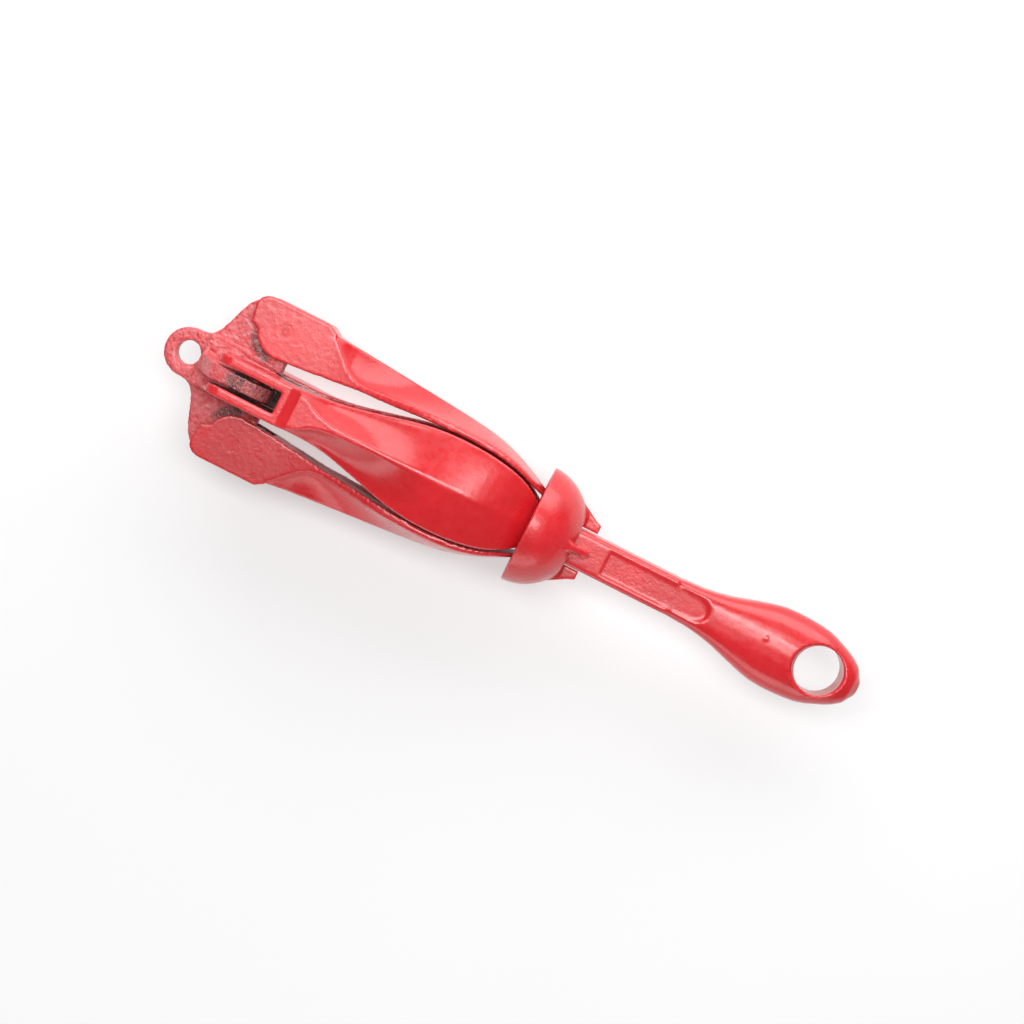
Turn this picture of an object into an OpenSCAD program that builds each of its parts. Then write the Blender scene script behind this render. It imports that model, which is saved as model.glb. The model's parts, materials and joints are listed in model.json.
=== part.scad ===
// Folding grapnel anchor, lying along X with its flukes folded under the sliding collar.
// X runs along the shank towards the shackle eye, and the origin is the shackle eye's centre.
// Inside the modules, x is measured from the trip eye's centre, and place() moves it to the origin.

/* [Overall] */
// Distance between the centres of the trip eye and the shackle eye
eye_spacing = 289; // [286:1:292]

/* [Shank] */
// Width of the square shank across its flats
shank_w = 16; // [15:0.5:16.5]
// Radius of the shank's long edges
shank_edge_r = 2; // [1:0.5:3]
// Radius of the shackle eye
shackle_eye_r = 10.25; // [8:0.25:10.5]
// Straight length of the shackle eye's wall
shackle_eye_len = 15; // [13:1:16]
// Radius of the trip eye
trip_eye_r = 5; // [3:0.5:6]
// Radius of the ring round the trip eye
trip_ring_r = 10.4; // [9:0.2:11]

/* [Crown] */
// Thickness of the lugs and of the trip eye's plate
lug_t = 6.8; // [6:0.1:7.6]
// Distance of the pivots from the trip eye, along the shank
pivot_x = 33; // [32:0.5:34]
// Distance of the pivots from the shank's centre line
pivot_r = 25.5; // [25:0.5:26]
// Radius of each lug's round end
lug_end_r = 8.4; // [8:0.2:9]
// Half width of the crown's square block
crown_half = 10.5; // [9.5:0.5:10.5]

/* [Flukes] */
// Width of the fork that straddles a lug
fork_w = 17.2; // [16:0.2:17.4]
// Width of the slot in the fork
slot_w = 9.4; // [8.6:0.1:9.8]
// Where the slot ends, along the shank
slot_end_x = 46; // [45:0.5:47]
// Distance of the fork's flat outer face from the centre line
fork_top_r = 36.3; // [35.5:0.1:37]
// Radius of the fork's round inner end about the pivot
fork_end_r = 11.8; // [10:0.2:12]
// Thickness of the blade at its edge
blade_edge_t = 2.7; // [2:0.1:3.2]

/* [Pins] */
// Radius of the pivot pins
pin_r = 3; // [2.5:0.1:3.2]
// Radial clearance of a pin in its lug
pin_gap = 0.06; // [0.03:0.01:0.09]

/* [Collar] */
// Where the collar's rim lies, along the shank
rim_x = 156; // [155:0.5:157]
// Outer radius of the collar's rim
rim_r = 25.5; // [25:0.5:27]
// Wall thickness at the rim
rim_t = 2.8; // [2:0.1:3]
// Height of the dome from its rim to its flat neck
dome_h = 20.5; // [20:0.5:21]
// Clearance between the collar's square hole and the shank
collar_gap = 0.7; // [0.4:0.1:1]
// Width of the four tabs on the neck
tab_w = 2.8; // [2.4:0.2:4]
// How far the tabs stand up from the neck
tab_h = 7; // [5:0.5:8]

/* [Hidden] */

red = "#e0222c";
dull_red = "#c23038";
fine = 64;

// Turn about X that carries the top fluke, on +Z, to each of the four places
turn_top = 0;
turn_right = 90;
turn_bottom = 180;
turn_left = 270;

// Trip eye plate and lug: the free edge from the ring to the outer corner, as [x, distance]
lug_edge = [[0, 10.4], [4, 10.9], [7, 13], [9.2, 17], [11.5, 24], [14, 29.6], [17, 32.9], [22, 34.8]];
lug_back_x = 38;
lug_shoulder_r = 34.2;
crown_start_x = 6.6;
crown_step_x = 20;
crown_waist_x = 24;
crown_waist_half = 9;
crown_end_x = 42;
bar_end_x = 222;

// Handle sections: [x, half width, half thickness, squareness]
handle = [[216, 7.7, 7.7, 5], [225, 8.3, 8.1, 4.6], [234, 8.9, 8.4, 4], [244, 10.8, 9.2, 3.2],
          [256, 14.4, 10.5, 2.6], [266, 16.9, 11.3, 2.3], [276, 17.3, 11.6, 2.2],
          [287, 16.3, 11.3, 2.2], [294, 13.9, 10.4, 2.2], [301, 10.6, 8.6, 2.2],
          [305.5, 6.8, 6, 2.2], [307.4, 3, 3, 2.2]];
handle_step = 3.5;
handle_points = 28;

// Height of the flare at each end of the shackle eye
eye_flare = 3;
// Length of cutters that only have to reach right through
through = 60;

// Blank panel sunk in the shank's upper face
panel_x = [191, 233];
panel_w = 11;
panel_depth = 0.45;

// Dome: heights at which the outer and inner ellipses would close, and of the hollow's ceiling
dome_full_h = 24;
hollow_full_h = 21;
ceiling_h = 15;
dome_step = 1.6;
tab_r = 13;
tab_foot_h = 17;
tab_sunk = 1;
pin_sunk = 0.05;

// Fork profile: where its flat outer face starts and ends, and the heel's points
heel = [[21.6, 22], [18.4, 23.4], [17.4, 28], [17, 31], [17.9, 33.8], [20, 35.6]];
heel_corner_x = 23;
fork_flat_end_x = 48.5;
fork_end_x = 52;
fork_neck_r = [15.3, 34.2];

// Blade curves along x: [x, value]
blade_half_w = [[50, 8.5], [56, 8.8], [64, 9.7], [72, 11.1], [86, 14.4], [100, 17.8], [113, 19.5],
                [126, 19.5], [135, 18.6], [144, 16.6], [152, 13], [158, 8.2], [161.5, 2.6]];
ridge_r = [[50, 34], [56, 33.2], [66, 32.5], [84, 31], [100, 29.7], [118, 28],
           [131, 26], [141, 22.9], [152, 18], [158, 14.7], [161.5, 12.9]];
ridge_half_w = [[50, 8.2], [56, 6.6], [62, 3.2], [69, 1.7], [80, 1.2], [100, 0.8], [161.5, 0.5]];
edge_r = [[50, 33.6], [54, 31.5], [58, 27.5], [63, 23], [69, 20.4], [81, 21], [97, 22.6],
          [115, 23.2], [131, 22.4], [143, 19.9], [152, 16.2], [158, 13.6], [161.5, 12.3]];
inner_r = [[50, 15.4], [58, 16], [70, 17.4], [84, 18.2], [100, 19.6], [115, 20.4],
           [131, 19.9], [143, 17.7], [152, 14.4], [161.5, 11.2]];
scoop = [[50, 1.2], [60, 2], [90, 1.7], [110, 1.1], [130, 0.8], [161.5, 0.6]];
hollow = [[50, 0.1], [62, 0.8], [85, 1.7], [120, 2], [145, 1.3], [156, 0.5], [161.5, 0.1]];
blade_step = 3.2;
flank_points = 8;

function steps(from, to, step) =
    let (n = ceil((to - from) / step)) [for (i = [0:n]) from + (to - from) * i / n];

// Smooth curve through a list of [x, value] stations, read at x
function first(t) = t[0][0];
function last(t) = t[len(t) - 1][0];
function span_of(t, x, i = 0) = i < len(t) - 2 && x > t[i + 1][0] ? span_of(t, x, i + 1) : i;
function slope(t, i, k) =
    let (a = t[max(i - 1, 0)], b = t[min(i + 1, len(t) - 1)]) (b[k] - a[k]) / (b[0] - a[0]);
function curve(t, x, k = 1) =
    let (i = span_of(t, x), h = t[i + 1][0] - t[i][0], u = (x - t[i][0]) / h)
    (2 * u ^ 3 - 3 * u ^ 2 + 1) * t[i][k] + (u ^ 3 - 2 * u ^ 2 + u) * h * slope(t, i, k)
    + (3 * u ^ 2 - 2 * u ^ 3) * t[i + 1][k] + (u ^ 3 - u ^ 2) * h * slope(t, i + 1, k);

// Superellipse section across X at x, with half sizes a and b and squareness n
function bent(v, n) = sign(v) * abs(v) ^ (2 / n);
function round_section(x, a, b, n, count) =
    [for (i = [0:count - 1]) let (q = 360 * i / count) [x, a * bent(cos(q), n), b * bent(sin(q), n)]];

// Half of a blade section at x, from the middle of the inner face round to the ridge
function half_section(x) =
    let (w = curve(blade_half_w, x), f = min(curve(ridge_half_w, x), w - 0.4),
         top = curve(ridge_r, x), edge = min(curve(edge_r, x), top - 0.3),
         low = curve(inner_r, x), p = curve(scoop, x))
    concat([[w * 0.5, low + curve(hollow, x) * 0.75], [w, min(low, edge - blade_edge_t * 0.4)]],
           [for (i = [0:flank_points]) let (t = i / flank_points)
               [w + (f - w) * t, edge + (top - edge) * t ^ p]]);
function blade_section(x) =
    let (half = half_section(x), n = len(half))
    concat([[x, 0, curve(inner_r, x) + curve(hollow, x)]],
           [for (i = [0:n - 1]) [x, half[i][0], half[i][1]]],
           [for (i = [n - 1:-1:0]) [x, -half[i][0], half[i][1]]]);

// Closed solid through rings of points, with flat ends
module skin(rings) {
    n = len(rings[0]);
    m = len(rings);
    sides = [for (j = [0:m - 2], i = [0:n - 1]) let (a = j * n + i, b = j * n + (i + 1) % n)
                each [[a, a + n, b], [b, a + n, b + n]]];
    ends = [[for (i = [0:n - 1]) i], [for (i = [n - 1:-1:0]) (m - 1) * n + i]];
    polyhedron(points = [for (r = rings) each r], faces = concat(sides, ends));
}

module place() { translate([-eye_spacing, 0, 0]) children(); }
module at_turn(turn) { place() rotate([turn, 0, 0]) children(); }
module along_x(from, to) { translate([from, 0, 0]) rotate([90, 0, 90]) linear_extrude(to - from) children(); }
module across_y(w) { rotate([90, 0, 0]) linear_extrude(w, center = true) children(); }

module round_square(w, r) {
    square([w, w - 2 * r], center = true);
    square([w - 2 * r, w], center = true);
    for (x = [-1, 1], y = [-1, 1]) translate([x, y] * (w / 2 - r)) circle(r, $fn = fine);
}

// Lug outline in x and distance, without its pin hole
module lug_outline() {
    edge = [for (x = steps(crown_start_x, last(lug_edge), 2)) [x, curve(lug_edge, x)]];
    polygon(concat([[crown_start_x, 0]], edge,
                   [[pivot_x, lug_shoulder_r], [pivot_x + lug_end_r * 0.86, pivot_r],
                    [lug_back_x, pivot_r - lug_end_r * 0.8], [lug_back_x, 0]]));
    translate([pivot_x, pivot_r]) circle(lug_end_r, $fn = fine);
}

module lug(turn) { rotate([turn, 0, 0]) across_y(lug_t) lug_outline(); }

module trip_plate() {
    edge = [for (x = steps(first(lug_edge), last(lug_edge), 2)) [x, curve(lug_edge, x)]];
    linear_extrude(lug_t, center = true) {
        circle(trip_ring_r, $fn = fine);
        for (side = [-1, 1])
            polygon(concat([[0, 0]], [for (p = edge) [p[0], side * p[1]]], [[last(lug_edge), 0]]));
    }
}

module crown_block() {
    waist = [[crown_start_x, 0], [crown_start_x, crown_half], [crown_step_x, crown_half],
             [crown_waist_x, crown_waist_half], [pivot_x, crown_waist_half],
             [crown_end_x, shank_w / 2 - 0.2], [crown_end_x, 0]];
    module plan() { polygon(waist); mirror([0, 1]) polygon(waist); }
    intersection() {
        across_y(2 * crown_half + 2) plan();
        linear_extrude(2 * crown_half + 2, center = true) plan();
    }
}

module handle_body() {
    skin([for (x = steps(first(handle), last(handle), handle_step))
        round_section(x, curve(handle, x, 1), curve(handle, x, 2), curve(handle, x, 3), handle_points)]);
}

module shackle_hole() {
    translate([eye_spacing, 0, 0]) {
        cylinder(h = through, r = shackle_eye_r, center = true, $fn = fine);
        for (side = [0, 1])
            mirror([0, 0, side]) translate([0, 0, shackle_eye_len / 2])
                cylinder(h = eye_flare * 2, r1 = shackle_eye_r, r2 = shackle_eye_r + eye_flare, $fn = fine);
    }
}

module panel_cut() {
    translate([0, 0, shank_w / 2 - panel_depth]) linear_extrude(panel_depth * 5) {
        translate([panel_x[0], -panel_w / 2]) square([panel_x[1] - panel_x[0], panel_w]);
        translate([panel_x[1], 0]) circle(panel_w / 2, $fn = fine);
    }
}

module shank() {
    color(red) place() difference() {
        union() {
            along_x(crown_step_x, bar_end_x) round_square(shank_w, shank_edge_r);
            crown_block();
            trip_plate();
            for (turn = [turn_top, turn_right, turn_bottom, turn_left]) lug(turn);
            handle_body();
        }
        cylinder(h = 3 * lug_t, r = trip_eye_r, center = true, $fn = fine);
        shackle_hole();
        panel_cut();
        for (turn = [turn_top, turn_right, turn_bottom, turn_left])
            rotate([turn, 0, 0]) translate([pivot_x, 0, pivot_r])
                rotate([90, 0, 0]) cylinder(h = 2 * lug_t, r = pin_r + pin_gap, center = true, $fn = fine);
    }
}

module fork_outline() {
    polygon(concat([[pivot_x, pivot_r - fork_end_r], [pivot_x, pivot_r]], heel,
                   [[heel_corner_x, fork_top_r], [fork_flat_end_x, fork_top_r],
                    [fork_end_x, fork_neck_r[1]], [fork_end_x, fork_neck_r[0]],
                    [pivot_x + 8, pivot_r - fork_end_r + 0.6]]));
    intersection() {
        translate([pivot_x, pivot_r]) circle(fork_end_r, $fn = fine);
        square([pivot_x + fork_end_r, pivot_r + 5]);
    }
}

module blade() {
    skin([for (x = steps(first(blade_half_w), last(blade_half_w), blade_step)) blade_section(x)]);
}

module fluke(turn) {
    color(red) at_turn(turn) difference() {
        union() {
            across_y(fork_w) fork_outline();
            blade();
        }
        translate([0, -slot_w / 2, 0]) cube([slot_end_x, slot_w, through]);
        translate([pivot_x, 0, pivot_r])
            rotate([90, 0, 0]) cylinder(h = 2 * fork_w, r = pin_r, center = true, $fn = fine);
    }
}

module pin(turn) {
    color(dull_red) at_turn(turn) translate([pivot_x, 0, pivot_r])
        rotate([90, 0, 0]) cylinder(h = fork_w - 2 * pin_sunk, r = pin_r, center = true, $fn = fine);
}

// Quarter of an ellipse from its rim, at height h, as [distance, height]
function dome_r(r, full_h, h) = r * sqrt(1 - (h / full_h) ^ 2);
function dome_curve(r, full_h, to_h) = [for (h = steps(0, to_h, dome_step)) [dome_r(r, full_h, h), h]];

module dome_profile() {
    outer = dome_curve(rim_r, dome_full_h, dome_h);
    inner = dome_curve(rim_r - rim_t, hollow_full_h, ceiling_h);
    polygon(concat(outer, [[0, dome_h], [0, ceiling_h]], [for (i = [len(inner) - 1:-1:0]) inner[i]]));
}

// Side view of a tab: a rib beside the shank, whose outer edge runs down on to the dome
module tab_outline() {
    foot_r = dome_r(rim_r, dome_full_h, tab_foot_h);
    polygon([[0, tab_foot_h], [foot_r - tab_sunk, tab_foot_h - tab_sunk], [foot_r, tab_foot_h],
             [tab_r + 0.4, dome_h + tab_h * 0.6], [tab_r - 0.6, dome_h + tab_h], [0, dome_h + tab_h]]);
}

module collar() {
    hole_w = shank_w + 2 * collar_gap;
    color(red) place() translate([rim_x, 0, 0]) rotate([0, 90, 0]) difference() {
        union() {
            rotate_extrude($fn = fine) dome_profile();
            for (turn = [turn_top, turn_right, turn_bottom, turn_left])
                rotate([90, 0, turn]) linear_extrude(tab_w, center = true) tab_outline();
        }
        cube([hole_w, hole_w, 2 * through], center = true);
    }
}

shank();
collar();
fluke(turn_top);  // fluke_top
fluke(turn_bottom);  // fluke_bottom
fluke(turn_left);  // fluke_left
fluke(turn_right);  // fluke_right
pin(turn_top);  // pin_top
pin(turn_bottom);  // pin_bottom
pin(turn_left);  // pin_left
pin(turn_right);  // pin_right
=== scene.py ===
"""Looks for the folding grapnel anchor.

Each casting is remeshed from its CAD node, its edges are rounded as a sand casting's are, its skin gets a cast
roughness, and it is finished in glossy red enamel.
"""

import json
import math

import bmesh
import bpy
import numpy as np
from mathutils import Matrix, Vector, noise


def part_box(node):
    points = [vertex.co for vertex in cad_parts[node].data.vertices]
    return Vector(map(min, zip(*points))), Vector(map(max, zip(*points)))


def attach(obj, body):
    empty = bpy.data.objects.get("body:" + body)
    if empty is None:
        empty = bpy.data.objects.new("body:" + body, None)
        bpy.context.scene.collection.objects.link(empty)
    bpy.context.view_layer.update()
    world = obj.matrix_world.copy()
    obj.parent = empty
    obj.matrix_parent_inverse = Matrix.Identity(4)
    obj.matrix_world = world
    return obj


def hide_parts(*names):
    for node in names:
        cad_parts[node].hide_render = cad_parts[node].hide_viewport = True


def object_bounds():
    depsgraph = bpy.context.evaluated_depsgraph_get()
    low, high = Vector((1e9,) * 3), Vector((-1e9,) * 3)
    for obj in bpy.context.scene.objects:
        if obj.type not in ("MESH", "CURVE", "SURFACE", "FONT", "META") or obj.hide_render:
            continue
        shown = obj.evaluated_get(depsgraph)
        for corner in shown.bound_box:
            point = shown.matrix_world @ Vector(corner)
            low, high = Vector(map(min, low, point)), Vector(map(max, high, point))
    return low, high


MM = 0.001
SIDES = ("top", "bottom", "left", "right")

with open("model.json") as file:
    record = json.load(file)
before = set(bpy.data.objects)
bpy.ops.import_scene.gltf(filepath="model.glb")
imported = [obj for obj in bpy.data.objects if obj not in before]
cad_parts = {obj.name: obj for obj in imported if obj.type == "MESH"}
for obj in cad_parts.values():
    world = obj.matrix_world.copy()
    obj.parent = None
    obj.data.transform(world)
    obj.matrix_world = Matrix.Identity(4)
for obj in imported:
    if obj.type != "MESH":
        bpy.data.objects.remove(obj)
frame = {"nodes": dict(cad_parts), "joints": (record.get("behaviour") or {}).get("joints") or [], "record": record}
cad_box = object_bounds()
low_corner, high_corner = cad_box
centre = (low_corner + high_corner) / 2
trip_eye = next(m for m in frame["record"]["mounts"] if m["name"] == "trip_eye")
trip_eye_x = trip_eye["pos_m"][0]
lug_half = trip_eye["dims"]["length_mm"] / 2 * MM
pivot = Vector(next(j for j in frame["joints"] if j["name"] == "fluke_top_fold")["pos_m"])
pin_along = pivot.x - trip_eye_x
pin_out = pivot.z
pin_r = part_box("pin_top")[1].x - pivot.x
cheek_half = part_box("pin_top")[1].y

# The fork's slot, as part.scad cuts it
SLOT_END_ALONG = pin_along + 13 * MM
SLOT_HALF = 4.7 * MM


# ---------------------------------------------------------------- casting meshes

WELD = 0.001 * MM
# Each smoothing round pulls every vertex in by one share, then pushes it out by the other
PULL_IN = 0.5
PUSH_OUT = -0.52
FAIRING_ROUNDS = 45
BEND_ROUNDS = 2

LUMP_SIZE = 1.7 * MM
LUMP_OCTAVES = 3
LUMP_FALLOFF = 0.9
LUMP_LACUNARITY = 2.1
SEED_STEP = (3.1, 7.7, 1.3)
# Half the height of the lumps where the skin is roughest
ROUGHEST = 0.15 * MM
# How far down the lumps are moved, as a share of that, so that the skin stays inside the CAD surface
SUNK = 0.5


def rise(start, end, values):
    """0 up to start, 1 from end, and smooth between them."""
    t = np.clip((values - start) / (end - start), 0, 1)
    return t * t * (3 - 2 * t)


def bell(width, values):
    """1 at nought, falling off over about the width on both sides."""
    return np.exp(-((values / width) ** 2))


def remeshed(nodes, voxel):
    """The shape of the nodes together, as one even quad mesh."""
    bm = bmesh.new()
    for node in nodes:
        bm.from_mesh(frame["nodes"][node].data)
    source = bpy.data.objects.new("source", bpy.data.meshes.new("source"))
    bmesh.ops.remove_doubles(bm, verts=bm.verts, dist=WELD)
    bm.to_mesh(source.data)
    bm.free()
    bpy.context.scene.collection.objects.link(source)
    modifier = source.modifiers.new("even", "REMESH")
    modifier.mode = "VOXEL"
    modifier.voxel_size = voxel
    modifier.adaptivity = 0
    source.data.materials.clear()
    graph = bpy.context.evaluated_depsgraph_get()
    mesh = bpy.data.meshes.new_from_object(source.evaluated_get(graph))
    bpy.data.objects.remove(source)
    return mesh


class Surface:
    """Vertex positions of a mesh, with what smoothing them needs."""

    def __init__(self, mesh):
        count = len(mesh.vertices)
        self.mesh = mesh
        self.co = np.empty(count * 3)
        mesh.vertices.foreach_get("co", self.co)
        self.co = self.co.reshape(-1, 3)
        ends = np.empty(len(mesh.edges) * 2, np.int32)
        mesh.edges.foreach_get("vertices", ends)
        ends = ends.reshape(-1, 2)
        self.start = np.r_[ends[:, 0], ends[:, 1]]
        self.end = np.r_[ends[:, 1], ends[:, 0]]
        self.links = np.maximum(np.bincount(self.start, minlength=count), 1)[:, None]

    def mean_of_neighbours(self, values):
        count, width = values.shape
        sums = [np.bincount(self.start, values[self.end, k], count) for k in range(width)]
        return np.stack(sums, 1) / self.links

    def smooth(self, rounds, weight=1.0):
        """Rounds off facets and edges without shrinking the whole."""
        for _ in range(rounds):
            for step in (PULL_IN, PUSH_OUT):
                self.co += step * weight * (self.mean_of_neighbours(self.co) - self.co)

    def write(self):
        self.mesh.vertices.foreach_set("co", self.co.ravel())
        self.mesh.update()

    def normals(self):
        self.write()
        out = np.empty(len(self.co) * 3)
        self.mesh.vertices.foreach_get("normal", out)
        return out.reshape(-1, 3)

    def bend(self):
        """How far the surface stands out at each vertex: above 0 on edges, below 0 in corners."""
        value = ((self.co - self.mean_of_neighbours(self.co)) * self.normals()).sum(1)[:, None]
        for _ in range(BEND_ROUNDS):
            value = self.mean_of_neighbours(value)
        return value[:, 0]

    def layer(self, name, values):
        attribute = self.mesh.attributes.new(name, "FLOAT", "POINT")
        attribute.data.foreach_set("value", np.asarray(values, np.float32))


def lumps(co, seed):
    """Cast-skin noise from about -1 to 1."""
    shift = Vector([seed * step for step in SEED_STEP])
    return np.array(
        [noise.fractal(Vector(p) / LUMP_SIZE + shift, LUMP_FALLOFF, LUMP_LACUNARITY, LUMP_OCTAVES) for p in co]
    )


class Skin:
    """What a casting's surface is like at each vertex. The last four become layers that the enamel reads."""

    def __init__(self, count):
        self.depth = np.ones(count)
        self.raised = np.zeros(count)
        self.rough = np.zeros(count)
        self.bare = np.zeros(count)
        # Painted shade: how far the enamel is darkened to near-black in the slots and between the parts
        self.painted_shade = np.zeros(count)
        self.crease = np.zeros(count)


def casting(node, voxel, rounds, grain, seed, filled_by=(), fairing=None):
    """A cast piece that stands for the node.

    grain fills in the skin. The nodes in filled_by are buried in the piece. fairing gives how far each vertex joins
    in a further smoothing, which takes the facets out of round stretches.
    """
    mesh = remeshed((node, *filled_by), voxel)
    surface = Surface(mesh)
    surface.smooth(rounds)
    if fairing:
        surface.smooth(FAIRING_ROUNDS, weight=fairing(surface.co)[:, None])
    bend = surface.bend() / voxel
    co = surface.co.copy()
    normals = surface.normals()
    skin = Skin(len(co))
    grain(skin, co, normals)
    height = skin.rough * skin.depth * ROUGHEST * (lumps(co, seed) - SUNK) + skin.raised
    surface.co = np.clip(co + normals * height[:, None], low_corner, high_corner)
    surface.write()
    surface.layer("bend", bend)
    # One of these layers carries the painted shade that the enamel reads
    for name in ("bare", "painted_shade", "rough", "crease"):
        surface.layer(name, getattr(skin, name))
    for polygon in mesh.polygons:
        polygon.use_smooth = True
    mesh.materials.append(cast_red)
    piece = bpy.data.objects.new(node + "_casting", mesh)
    bpy.context.scene.collection.objects.link(piece)
    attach(piece, node)
    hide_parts(node)


# ---------------------------------------------------------------- where the skin changes
#
# along is measured from the trip eye, out from the shank's centre line, and from_pin from the pivot's axis.
# A pair is where a change starts and where it is complete.

HANDLE_FAIRED = (-82 * MM, -66 * MM)
EYE_LEFT_SHARP = (13.6 * MM, 16 * MM)

CROWN_FADES = (38 * MM, 50 * MM)
HANDLE_STARTS = (220 * MM, 245 * MM)
BAR_ROUGH = 0.24
HANDLE_ROUGH = 0.1

# Paint missed beside the forks' round ends, less of it further out, and none past the crown's block
MISSED_FADES = (13.5 * MM, 17.5 * MM)
MISSED_STOPS = (30.2 * MM, 30.8 * MM)
MISSED_LESS = (13 * MM, 23 * MM)
MISSED_LESS_BY = 0.75
BESIDE_LUG = 1 * MM
# Paint worn on the lugs' ends
LUG_END_ALONG = (20 * MM, 27 * MM)
LUG_END_OUT = (20 * MM, 26 * MM)
LUG_EDGE = 0.3 * MM
LUG_END_WORN = 0.5

# Painted shade on the lugs' sides, where the forks cover them
COVERED_IN = 0.45 * MM
COVERED_OUT = 0.3 * MM
COVERED_R = 11.5 * MM
COVERED_FROM = 26 * MM
# Painted shade on the bar, below the end of each fork's slot
BAR_SHADE_ALONG = (36 * MM, 47 * MM)
BAR_SHADE_OUT = 24 * MM
FACING_OUT = 0.7

# A casting pip beside the shackle eye
PIP_PLACE = Vector((-25.6 * MM, 2.4 * MM))
PIP_HEIGHT = 0.45 * MM
PIP_WIDTH = 0.9 * MM

BLADE_STARTS = (52 * MM, 80 * MM)
FORK_ROUGH = 0.2
BLADE_ROUGH = 0.08
# Painted shade in the fork's slot, up to its mouth
SLOT_MARGIN = 0.35 * MM
SLOT_END_MARGIN = 1.2 * MM
SLOT_SHADE_FROM = 12 * MM
SLOT_MOUTH = (35 * MM, 35.8 * MM)
# Painted shade on the blade's inner face
INNER_FACING = (0.2, 0.7)
INNER_STARTS = (50 * MM, 60 * MM)
INNER_SHADE = 0.45
# The rivet's outline: the skin is smooth over it, and a faint crease runs round it
RIVET_SMOOTH = (pin_r + 0.2 * MM, pin_r + 1.5 * MM)
CREASE_WIDTH = 0.35 * MM
CHEEK_SKIN = 0.6 * MM

COLLAR_ROUGH = 0.22


def by_lug(co):
    """For each vertex: distance along from the trip eye, out from the centre line, and sideways, at its own lug."""
    flat = abs(co[:, 1]) > abs(co[:, 2])
    out = np.where(flat, abs(co[:, 1]), abs(co[:, 2]))
    aside = np.where(flat, abs(co[:, 2]), abs(co[:, 1]))
    return co[:, 0] - trip_eye_x, out, aside


def facing_out(co, normals):
    """How squarely each vertex faces away from the centre line, at its own lug: -1 where it faces inwards."""
    flat = abs(co[:, 1]) > abs(co[:, 2])
    return np.where(flat, normals[:, 1] * np.sign(co[:, 1]), normals[:, 2] * np.sign(co[:, 2]))


def handle_fairing(co):
    """All of the handle and its root, but not the mouth of its eye."""
    from_eye = np.hypot(co[:, 0], co[:, 1])
    return rise(*HANDLE_FAIRED, co[:, 0]) * rise(*EYE_LEFT_SHARP, from_eye)


def shank_grain(skin, co, normals):
    """Rough round the crown, finer along the bar, fine on the handle. Paint is missed beside the forks' round ends
    and worn on the lugs' ends. Painted shade darkens where the forks cover the lugs and below the ends of their
    slots."""
    along, out, aside = by_lug(co)
    crown = 1 - rise(*CROWN_FADES, along)
    handle = rise(*HANDLE_STARTS, along)
    skin.rough = crown + BAR_ROUGH * (1 - crown) * (1 - handle) + HANDLE_ROUGH * handle

    from_pin = np.hypot(along - pin_along, out - pin_out)
    short_of_pin = 1 - rise(*MISSED_STOPS, along)
    low = 1 - MISSED_LESS_BY * rise(*MISSED_LESS, out)
    missed = (1 - rise(*MISSED_FADES, from_pin)) * short_of_pin * low * (aside < lug_half + BESIDE_LUG)
    edge_on = aside < lug_half - LUG_EDGE
    worn = edge_on * rise(*LUG_END_ALONG, along) * rise(*LUG_END_OUT, out) * crown
    skin.bare = np.clip(missed + LUG_END_WORN * worn, 0, 1)

    # Painted shade on the lugs' sides under the forks and on the bar below the slots
    lug_side = (aside > lug_half - COVERED_IN) & (aside < lug_half + COVERED_OUT)
    covered = lug_side & (from_pin < COVERED_R) & (along > COVERED_FROM)
    start, end = BAR_SHADE_ALONG
    below_slot = (along > start) & (along < end) & (aside < SLOT_HALF) & (out < BAR_SHADE_OUT)
    skin.painted_shade = covered | (below_slot & (abs(facing_out(co, normals)) > FACING_OUT))

    from_pip = np.hypot(co[:, 0] - PIP_PLACE.x, co[:, 1] - PIP_PLACE.y)
    skin.raised = PIP_HEIGHT * bell(PIP_WIDTH, from_pip) * (co[:, 2] > 0)


def fluke_grain(skin, co, normals):
    """Rough on the fork's flats and round the root, smooth along the blade, with painted shade and duller gloss
    inside the slot and, less of them, on the blade's inner face. The buried rivet's outline shows faintly through
    the paint."""
    along, out, aside = by_lug(co)
    blade = rise(*BLADE_STARTS, along)
    skin.rough = FORK_ROUGH * (1 - blade) + BLADE_ROUGH * blade

    # Painted shade inside the slot, and a lighter share of it on the blade's inner face
    in_slot = (aside < SLOT_HALF + SLOT_MARGIN) & (along < SLOT_END_ALONG + SLOT_END_MARGIN)
    slot_shade = in_slot * (out > SLOT_SHADE_FROM) * (1 - rise(*SLOT_MOUTH, out))
    inner_shade = INNER_SHADE * rise(*INNER_FACING, -facing_out(co, normals)) * rise(*INNER_STARTS, along)
    skin.painted_shade = np.maximum(slot_shade, inner_shade)

    from_pin = np.hypot(along - pin_along, out - pin_out)
    skin.depth = rise(*RIVET_SMOOTH, from_pin)
    skin.crease = bell(CREASE_WIDTH, from_pin - pin_r) * (aside > cheek_half - CHEEK_SKIN)


def collar_grain(skin, co, normals):
    skin.rough[:] = COLLAR_ROUGH


# ---------------------------------------------------------------- materials

RED = (0.58, 0.010, 0.016)
# Deeper red: random clouding, and painted shade in corners
DEEP_RED = (0.50, 0.007, 0.011)
# Lighter red on edges: partly thin paint, partly a painted highlight
THIN_PAINT_HIGHLIGHT_RED = (0.64, 0.060, 0.070)
# Pink painted on the roughest skin: a painted sheen standing in for its glints
PAINTED_SHEEN_PINK = (0.64, 0.14, 0.15)
IRON = (0.30, 0.14, 0.13)
DARK_IRON = (0.05, 0.020, 0.020)
# Near-black painted shade for the slots, the covered lug sides and the blades' inner faces
PAINTED_SHADE_COLOUR = (0.030, 0.008, 0.007)

GRIT_DEPTH = 0.4 * MM
PEEL_DEPTH = 0.04 * MM
PEEL_STRENGTH = 0.5
CREASE_DEPTH = 0.07
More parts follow.
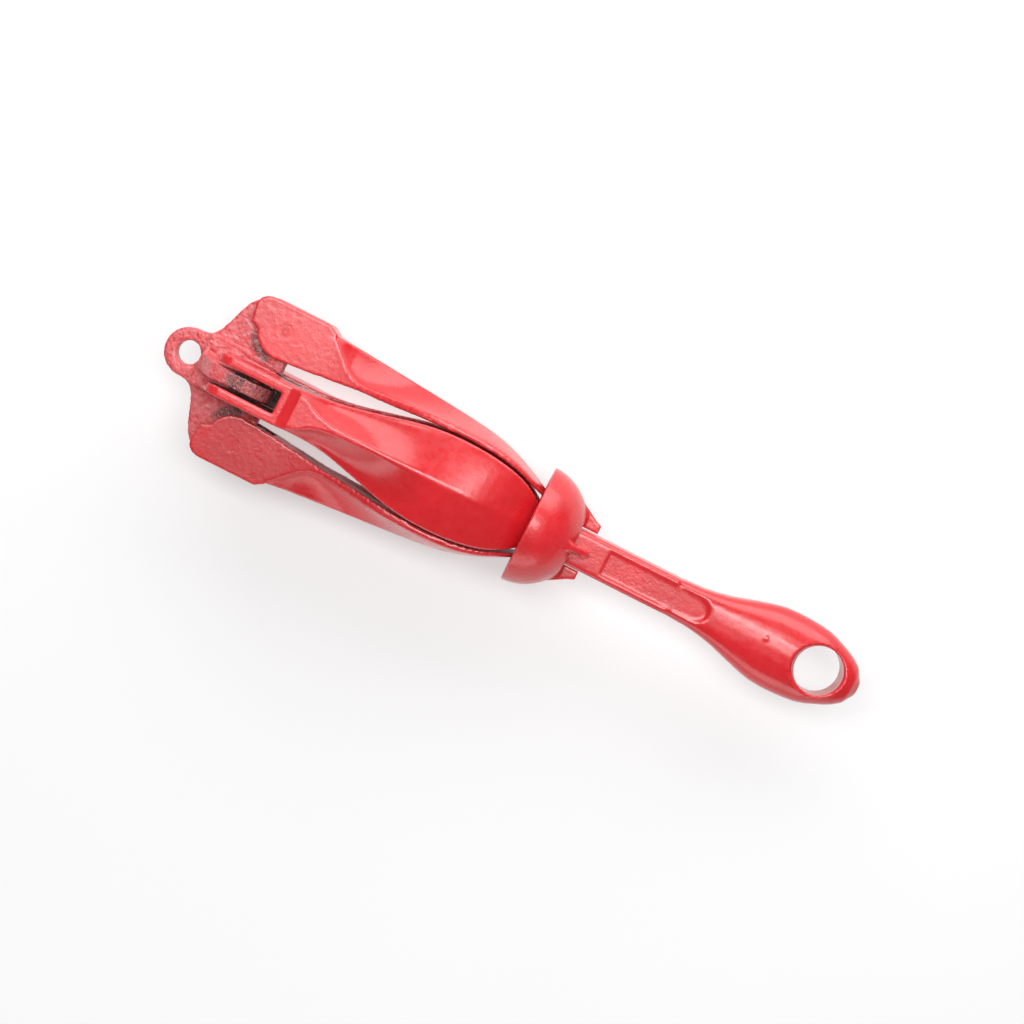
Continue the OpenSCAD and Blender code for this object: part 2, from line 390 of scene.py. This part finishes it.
# How much duller the enamel gets where it is rough, and where it is missed or darkened by painted shade
ROUGH_DULL = 0.2
BARE_DULL = 0.5

PIN_SKIN_DEPTH = 0.08 * MM
PIN_SKIN_STRENGTH = 0.5
PIN_RIM = 0.1 * MM
PIN_RIM_SEGMENTS = 3


class Nodes:
    """Short names for adding shader nodes to one material. A noise's scale is its waves per metre."""

    def __init__(self, name):
        self.material = bpy.data.materials.new(name)
        self.material.use_nodes = True
        self.tree = self.material.node_tree
        self.shader = self.tree.nodes["Principled BSDF"]
        self.place = self.add("ShaderNodeTexCoord").outputs["Object"]

    def add(self, kind, **settings):
        node = self.tree.nodes.new(kind)
        for key, value in settings.items():
            setattr(node, key, value)
        return node

    def join(self, out, socket):
        self.tree.links.new(out, socket)

    def noise(self, scale, detail, rough=0.55):
        node = self.add("ShaderNodeTexNoise")
        node.inputs["Scale"].default_value = scale
        node.inputs["Detail"].default_value = detail
        node.inputs["Roughness"].default_value = rough
        self.join(self.place, node.inputs["Vector"])
        return node.outputs["Fac"]

    def cells(self, scale):
        node = self.add("ShaderNodeTexVoronoi")
        node.inputs["Scale"].default_value = scale
        self.join(self.place, node.inputs["Vector"])
        return node.outputs["Distance"]

    def layer(self, name):
        return self.add("ShaderNodeAttribute", attribute_name=name).outputs["Fac"]

    def spread(self, value, low, high, out_low=0.0, out_high=1.0):
        """The value's range from low to high, stretched smoothly to another."""
        node = self.add("ShaderNodeMapRange", interpolation_type="SMOOTHSTEP")
        self.join(value, node.inputs["Value"])
        for key, number in zip(("From Min", "From Max", "To Min", "To Max"), (low, high, out_low, out_high)):
            node.inputs[key].default_value = number
        return node.outputs["Result"]

    def math(self, operation, one, other):
        node = self.add("ShaderNodeMath", operation=operation)
        for value, socket in zip((one, other), node.inputs):
            if isinstance(value, (int, float)):
                socket.default_value = value
            else:
                self.join(value, socket)
        return node.outputs["Value"]

    def plus(self, one, other):
        return self.math("ADD", one, other)

    def times(self, one, other):
        return self.math("MULTIPLY", one, other)

    def mix(self, share, one, other):
        node = self.add("ShaderNodeMix", data_type="RGBA")
        self.join(share, node.inputs["Factor"])
        for value, socket in ((one, node.inputs[6]), (other, node.inputs[7])):
            if isinstance(value, tuple):
                socket.default_value = (*value, 1)
            else:
                self.join(value, socket)
        return node.outputs[2]

    def bump(self, height, strength, distance, below=None):
        node = self.add("ShaderNodeBump")
        node.inputs["Strength"].default_value = strength
        node.inputs["Distance"].default_value = distance
        self.join(height, node.inputs["Height"])
        if below is not None:
            self.join(below, node.inputs["Normal"])
        return node.outputs["Normal"]


def enamel():
    """Glossy red enamel over cast iron: clouded, a painted pink sheen where it is rough, thin paint and a painted
    highlight on edges, painted shade in corners, missed in the bare pockets, and near-black painted shade in slots
    and between parts."""
    n = Nodes("cast_red")
    rough = n.layer("rough")

    cloud = n.spread(n.noise(38, 3), 0.35, 0.65)
    colour = n.mix(cloud, RED, DEEP_RED)
    # Painted sheen: the rough skin tinted pink in place of its glints
    painted_sheen = n.times(n.times(rough, rough), n.spread(n.noise(420, 4), 0.3, 0.65, 0.2, 0.9))
    colour = n.mix(painted_sheen, colour, PAINTED_SHEEN_PINK)
    # Edges lighter: partly thin paint, partly a painted highlight
    edges = n.spread(n.layer("bend"), 0.015, 0.10, 0, 0.75)
    streaks = n.spread(n.noise(900, 5), 0.35, 0.7)
    colour = n.mix(n.times(edges, streaks), colour, THIN_PAINT_HIGHLIGHT_RED)
    # Painted shade: corners darkened towards the deep red
    corners = n.spread(n.layer("bend"), -0.02, -0.12, 0, 0.8)
    colour = n.mix(corners, colour, DEEP_RED)
    specks = n.spread(n.noise(1300, 5, 0.65), 0.34, 0.52)
    missed = n.times(n.spread(n.layer("bare"), 0.15, 0.75), specks)
    iron = n.mix(n.spread(n.noise(2200, 3), 0.4, 0.6), DARK_IRON, IRON)
    colour = n.mix(missed, colour, iron)
    # Painted shade: near-black in the slots and the gaps between the parts, from the layer
    painted_shade = n.spread(n.layer("painted_shade"), 0.2, 0.8)
    colour = n.mix(painted_shade, colour, PAINTED_SHADE_COLOUR)
    n.join(colour, n.shader.inputs["Base Color"])

    gloss = n.spread(n.noise(260, 4), 0.3, 0.7, 0.22, 0.34)
    gloss = n.plus(gloss, n.times(rough, ROUGH_DULL))
    gloss = n.plus(gloss, n.times(n.plus(missed, painted_shade), BARE_DULL))
    n.join(gloss, n.shader.inputs["Roughness"])
    n.shader.inputs["Specular IOR Level"].default_value = 0.5
    n.shader.inputs["Coat Weight"].default_value = 0.35
    n.shader.inputs["Coat Roughness"].default_value = 0.18

    pebbles = n.times(n.spread(n.cells(620), 0.0, 0.7), rough)
    grit = n.times(n.plus(n.noise(1100, 4, 0.6), pebbles), rough)
    crease = n.times(n.layer("crease"), CREASE_DEPTH)
    cast = n.bump(n.math("SUBTRACT", grit, crease), 1.0, GRIT_DEPTH)
    peel = n.bump(n.noise(300, 3), PEEL_STRENGTH, PEEL_DEPTH, cast)
    n.join(peel, n.shader.inputs["Normal"])
    return n.material


def pin_paint():
    """The same red on the rivets, a little duller."""
    n = Nodes("pin_paint")
    cloud = n.spread(n.noise(300, 4), 0.35, 0.65)
    n.join(n.mix(cloud, RED, DEEP_RED), n.shader.inputs["Base Color"])
    n.join(n.spread(n.noise(700, 4), 0.3, 0.7, 0.3, 0.45), n.shader.inputs["Roughness"])
    n.join(n.bump(n.noise(900, 4), PIN_SKIN_STRENGTH, PIN_SKIN_DEPTH), n.shader.inputs["Normal"])
    return n.material


def finish_pins():
    """Paint and a rounded rim on the CAD pins."""
    material = pin_paint()
    for side in SIDES:
        pin = frame["nodes"]["pin_" + side]
        pin.data.materials.clear()
        pin.data.materials.append(material)
        modifier = pin.modifiers.new("worn rim", "BEVEL")
        modifier.width = PIN_RIM
        modifier.segments = PIN_RIM_SEGMENTS
        modifier.limit_method = "ANGLE"


# ---------------------------------------------------------------- studio

WORLD_STRENGTH = 0.2
WHITE = (1, 1, 1, 1)
FLOOR_HALF = 20.0
FLOOR_BELOW = 0.3 * MM
PAPER = (0.44, 0.44, 0.44)
PALE_PAPER = (0.46, 0.46, 0.46)
PAPER_ROUGHNESS = 0.9
PAPER_GLOW = 0.42

CAMERA_HEIGHT = 0.85
CAMERA_TURN = math.radians(26.78)
CAMERA_LEAN = math.radians(4)
SENSOR_WIDTH = 36
SEEN_WIDTH = 0.4216
# How far the camera's aim lies from the anchor's middle, along and across it
AIM_ALONG = -0.5 * MM
AIM_ACROSS = 1 * MM


def area_light(name, place, size, watts, at=(0, 0, 0)):
    """A soft box at a place relative to the anchor's middle, turned towards another such place."""
    data = bpy.data.lights.new(name, "AREA")
    data.shape = "RECTANGLE"
    data.size, data.size_y = size
    data.energy = watts
    light = bpy.data.objects.new(name, data)
    light.location = centre + Vector(place)
    light.rotation_mode = "QUATERNION"
    light.rotation_quaternion = (Vector(place) - Vector(at)).to_track_quat("Z", "Y")
    bpy.context.scene.collection.objects.link(light)


def paper_floor():
    """A square of pale paper just below the anchor, bright enough to pass for a white background."""
    z = low_corner.z - FLOOR_BELOW
    corners = [(x * FLOOR_HALF, y * FLOOR_HALF, z) for x, y in ((-1, -1), (1, -1), (1, 1), (-1, 1))]
    mesh = bpy.data.meshes.new("floor")
    mesh.from_pydata(corners, [], [(0, 1, 2, 3)])
    n = Nodes("floor_paper")
    n.join(n.mix(n.noise(3, 2), PAPER, PALE_PAPER), n.shader.inputs["Base Color"])
    n.shader.inputs["Roughness"].default_value = PAPER_ROUGHNESS
    n.shader.inputs["Emission Color"].default_value = WHITE
    n.shader.inputs["Emission Strength"].default_value = PAPER_GLOW
    mesh.materials.append(n.material)
    floor = bpy.data.objects.new("floor", mesh)
    bpy.context.scene.collection.objects.link(floor)


def studio():
    world = bpy.data.worlds.new("studio")
    world.use_nodes = True
    background = world.node_tree.nodes["Background"]
    background.inputs["Color"].default_value = WHITE
    background.inputs["Strength"].default_value = WORLD_STRENGTH
    bpy.context.scene.world = world
    area_light("overhead", place=(-0.05, 0.155, 0.95), size=(0.8, 0.25), watts=7.6, at=(-0.05, 0.155, 0))
    area_light("side wall", place=(-0.1, 0.85, 0.40), size=(1.5, 0.75), watts=13.0)
    area_light("fill", place=(0.1, -0.8, 0.25), size=(1.2, 0.35), watts=2.8)
    paper_floor()
    bpy.context.scene.view_settings.view_transform = "Standard"


def camera():
    """Above the anchor, leaning a little, and turned so that the shank runs down to the right."""
    data = bpy.data.cameras.new("camera")
    data.sensor_width = SENSOR_WIDTH
    data.lens = SENSOR_WIDTH * CAMERA_HEIGHT / SEEN_WIDTH
    cam = bpy.data.objects.new("camera", data)
    above = Matrix.Translation((0, AIM_ACROSS, CAMERA_HEIGHT)) @ Matrix.Rotation(CAMERA_TURN, 4, "Z")
    lean = Matrix.Rotation(-CAMERA_LEAN, 4, "X")
    cam.matrix_world = Matrix.Translation((centre.x + AIM_ALONG, 0, 0)) @ lean @ above
    bpy.context.scene.collection.objects.link(cam)
    bpy.context.scene.camera = cam


# ---------------------------------------------------------------- the anchor

camera()
studio()

cast_red = enamel()
casting("shank", voxel=0.7 * MM, rounds=6, grain=shank_grain, seed=1, fairing=handle_fairing)
casting("collar", voxel=0.55 * MM, rounds=5, grain=collar_grain, seed=2)
for seed, side in enumerate(SIDES, 3):
    casting("fluke_" + side, voxel=0.6 * MM, rounds=8, grain=fluke_grain, seed=seed, filled_by=("pin_" + side,))
finish_pins()
